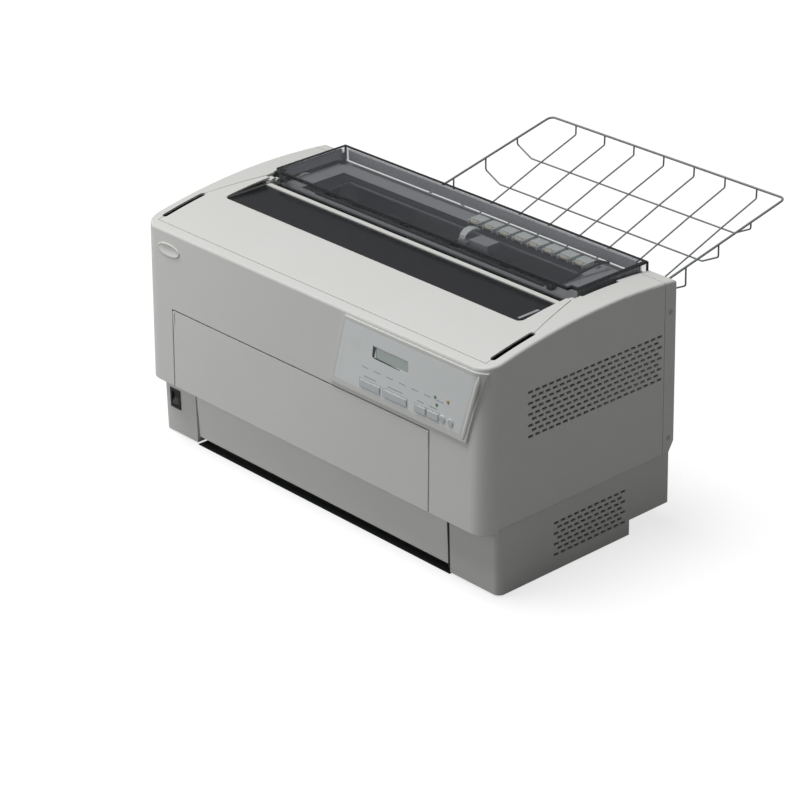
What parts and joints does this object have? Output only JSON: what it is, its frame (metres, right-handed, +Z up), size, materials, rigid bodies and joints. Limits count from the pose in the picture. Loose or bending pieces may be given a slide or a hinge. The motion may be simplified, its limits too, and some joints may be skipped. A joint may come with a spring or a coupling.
{
  "type": "dot matrix printer",
  "caption": "Wide forms printer with a leaning front, a hinged front cover, a flush top cover, a smoked paper exit lid, a slanted control panel and a wire paper rack behind.",
  "frame": {"origin": "middle of the bottom of the box round the whole printer and its wire rack, on the table", "axes": "+X to the printer's right as seen from its front, +Y to the rear, +Z up"},
  "size_m": [0.7, 0.696, 0.363],
  "materials": {
    "case_plastic": "fine moulded texture, light grey",
    "base_plastic": "fine moulded texture, mid grey",
    "smoked_plastic": "smoked, polished",
    "overlay_film": "printed film, satin",
    "display_lens": "polished",
    "key_plastic": "satin",
    "black_plastic": "fine texture",
    "rubber": "matt",
    "zinc_plate": "zinc plated",
    "ground_steel": "ground bright",
    "rack_wire": "smooth coating, mid grey",
    "circuit_board": "solder mask",
    "motor_steel": "plated",
    "drive_nylon": "satin",
    "tractor_plastic": "satin",
    "carriage_cast": "die cast",
    "head_alloy": "black anodised"
  },
  "bodies": {
    "machine": {"base_case": "base_plastic", "rubber_feet": "rubber", "entry_lip": "base_plastic", "power_switch_housing": "black_plastic", "main_board": "circuit_board", "power_supply": "zinc_plate", "fan_frame": "black_plastic", "ac_inlet": "black_plastic", "interface_sockets": "zinc_plate", "side_frame_left": "zinc_plate", "side_frame_right": "zinc_plate", "frame_stays": "zinc_plate", "guide_rods": "ground_steel", "platen": "ground_steel", "carriage_bed": "zinc_plate", "carriage_motor": "motor_steel", "drive_belt": "rubber", "ribbon_cartridge": "black_plastic", "feed_motor": "motor_steel", "feed_belt": "rubber", "exit_deck": "black_plastic", "hinge_pins": "ground_steel", "upper_case": "case_plastic", "rear_case": "case_plastic", "case_screws": "zinc_plate", "control_panel": "case_plastic", "panel_overlay": "overlay_film", "display_window": "display_lens"},
    "front_cover": {"front_cover": "case_plastic"},
    "top_cover": {"top_cover": "case_plastic", "top_cover_window": "smoked_plastic"},
    "exit_lid": {"exit_lid": "smoked_plastic"},
    "power_switch": {"power_switch_rocker": "black_plastic"},
    "fan": {"fan_rotor": "black_plastic"},
    "carriage": {"carriage": "carriage_cast", "print_head": "head_alloy"},
    "motor_pulley": {"motor_pulley": "drive_nylon"},
    "idler_pulley": {"idler_pulley": "drive_nylon"},
    "ribbon_knob": {"ribbon_knob": "black_plastic"},
    "exit_feed": {"exit_shaft": "ground_steel", "exit_rollers": "rubber", "exit_gear": "drive_nylon"},
    "front_feed": {"front_tractor_shaft": "ground_steel", "front_pulley": "drive_nylon"},
    "rear_feed": {"rear_tractor_shaft": "ground_steel", "rear_pulley": "drive_nylon"},
    "motor_pinion": {"motor_pinion": "drive_nylon"},
    "wire_rack": {"wire_rack": "rack_wire"},
    "front_tractor_left": {"front_tractor_left": "tractor_plastic"},
    "front_tractor_left_lid": {"front_tractor_left_lid": "tractor_plastic"},
    "front_tractor_right": {"front_tractor_right": "tractor_plastic"},
    "front_tractor_right_lid": {"front_tractor_right_lid": "tractor_plastic"},
    "rear_tractor_left": {"rear_tractor_left": "tractor_plastic"},
    "rear_tractor_left_lid": {"rear_tractor_left_lid": "tractor_plastic"},
    "rear_tractor_right": {"rear_tractor_right": "tractor_plastic"},
    "rear_tractor_right_lid": {"rear_tractor_right_lid": "tractor_plastic"},
    "pause_key": {"pause_key": "key_plastic"},
    "load_key": {"load_key": "key_plastic"},
    "feed_key": {"feed_key": "key_plastic"},
    "menu_key": {"menu_key": "key_plastic"}
  },
  "joints": [
    {"name": "front_cover_hinge", "type": "hinge", "parent": "machine", "child": "front_cover", "pos_m": [-0.022, -0.339, 0.105], "axis": [1, 0, 0], "range_deg": [0, 85]},
    {"name": "top_cover_hinge", "type": "hinge", "parent": "machine", "child": "top_cover", "pos_m": [0, -0.144, 0.3465], "axis": [-1, 0, 0], "range_deg": [0, 75]},
    {"name": "exit_lid_hinge", "type": "hinge", "parent": "machine", "child": "exit_lid", "pos_m": [0, -0.01, 0.3465], "axis": [-1, 0, 0], "range_deg": [0, 80]},
    {"name": "power_rocker", "type": "hinge", "parent": "machine", "child": "power_switch", "pos_m": [-0.32, -0.317, 0.057], "axis": [1, 0, 0], "range_deg": [0, 14]},
    {"name": "fan_spin", "type": "hinge", "parent": "machine", "child": "fan", "pos_m": [0.335, -0.154, 0.052], "axis": [1, 0, 0], "continuous": true},
    {"name": "carriage_slide", "type": "slide", "parent": "machine", "child": "carriage", "axis": [1, 0, 0], "range_m": [-0.215, 0.215]},
    {"name": "motor_pulley_spin", "type": "hinge", "parent": "machine", "child": "motor_pulley", "pos_m": [0.262, -0.192, 0.23], "axis": [0, 0, 1], "range_deg": [-960, 960]},
    {"name": "idler_pulley_spin", "type": "hinge", "parent": "machine", "child": "idler_pulley", "pos_m": [-0.262, -0.192, 0.23], "axis": [0, 0, 1], "range_deg": [-960, 960]},
    {"name": "ribbon_knob_turn", "type": "hinge", "parent": "machine", "child": "ribbon_knob", "pos_m": [0.18, -0.264, 0.325], "axis": [0, 0, 1], "continuous": true},
    {"name": "exit_shaft_turn", "type": "hinge", "parent": "machine", "child": "exit_feed", "pos_m": [0, -0.086, 0.318], "axis": [1, 0, 0], "continuous": true},
    {"name": "front_shaft_turn", "type": "hinge", "parent": "machine", "child": "front_feed", "pos_m": [0, -0.276, 0.135], "axis": [1, 0, 0], "continuous": true},
    {"name": "rear_shaft_turn", "type": "hinge", "parent": "machine", "child": "rear_feed", "pos_m": [0, -0.068, 0.165], "axis": [1, 0, 0], "continuous": true},
    {"name": "motor_pinion_turn", "type": "hinge", "parent": "machine", "child": "motor_pinion", "pos_m": [-0.301, -0.06569, 0.29105], "axis": [1, 0, 0], "continuous": true},
    {"name": "rack_pull", "type": "slide", "parent": "machine", "child": "wire_rack", "axis": [0, 1, 0], "range_m": [0, 0.008]},
    {"name": "front_tractor_left_slide", "type": "slide", "parent": "machine", "child": "front_tractor_left", "axis": [1, 0, 0], "range_m": [-0.05, 0.12]},
    {"name": "front_tractor_left_lid_hinge", "type": "hinge", "parent": "front_tractor_left", "child": "front_tractor_left_lid", "pos_m": [-0.2159, -0.3, 0.161], "axis": [0, 0, -1], "range_deg": [0, 100]},
    {"name": "front_tractor_right_slide", "type": "slide", "parent": "machine", "child": "front_tractor_right", "axis": [1, 0, 0], "range_m": [-0.12, 0.05]},
    {"name": "front_tractor_right_lid_hinge", "type": "hinge", "parent": "front_tractor_right", "child": "front_tractor_right_lid", "pos_m": [0.2159, -0.3, 0.161], "axis": [0, 0, 1], "range_deg": [0, 100]},
    {"name": "rear_tractor_left_slide", "type": "slide", "parent": "machine", "child": "rear_tractor_left", "axis": [1, 0, 0], "range_m": [-0.05, 0.12]},
    {"name": "rear_tractor_left_lid_hinge", "type": "hinge", "parent": "rear_tractor_left", "child": "rear_tractor_left_lid", "pos_m": [-0.2159, -0.044, 0.191], "axis": [0, 0, 1], "range_deg": [0, 100]},
    {"name": "rear_tractor_right_slide", "type": "slide", "parent": "machine", "child": "rear_tractor_right", "axis": [1, 0, 0], "range_m": [-0.12, 0.05]},
    {"name": "rear_tractor_right_lid_hinge", "type": "hinge", "parent": "rear_tractor_right", "child": "rear_tractor_right_lid", "pos_m": [0.2159, -0.044, 0.191], "axis": [0, 0, -1], "range_deg": [0, 100]},
    {"name": "pause_key_press", "type": "slide", "parent": "machine", "child": "pause_key", "axis": [0, 1, 0], "range_m": [0, 0.0008], "stiffness_N_per_m": 400, "springref_m": -0.0005},
    {"name": "load_key_press", "type": "slide", "parent": "machine", "child": "load_key", "axis": [0, 1, 0], "range_m": [0, 0.0008], "stiffness_N_per_m": 400, "springref_m": -0.0005},
    {"name": "feed_key_press", "type": "slide", "parent": "machine", "child": "feed_key", "axis": [0, 1, 0], "range_m": [0, 0.0008], "stiffness_N_per_m": 400, "springref_m": -0.0005},
    {"name": "menu_key_press", "type": "slide", "parent": "machine", "child": "menu_key", "axis": [0, 1, 0], "range_m": [0, 0.0008], "stiffness_N_per_m": 400, "springref_m": -0.0005}
  ],
  "couplings": [
    {"joint": "motor_pulley_spin", "follows": "carriage_slide", "rad_per_m": 76.923},
    {"joint": "idler_pulley_spin", "follows": "carriage_slide", "rad_per_m": 76.923},
    {"joint": "front_shaft_turn", "follows": "exit_shaft_turn", "ratio": 1},
    {"joint": "rear_shaft_turn", "follows": "exit_shaft_turn", "ratio": 1},
    {"joint": "motor_pinion_turn", "follows": "exit_shaft_turn", "ratio": -2}
  ]
}
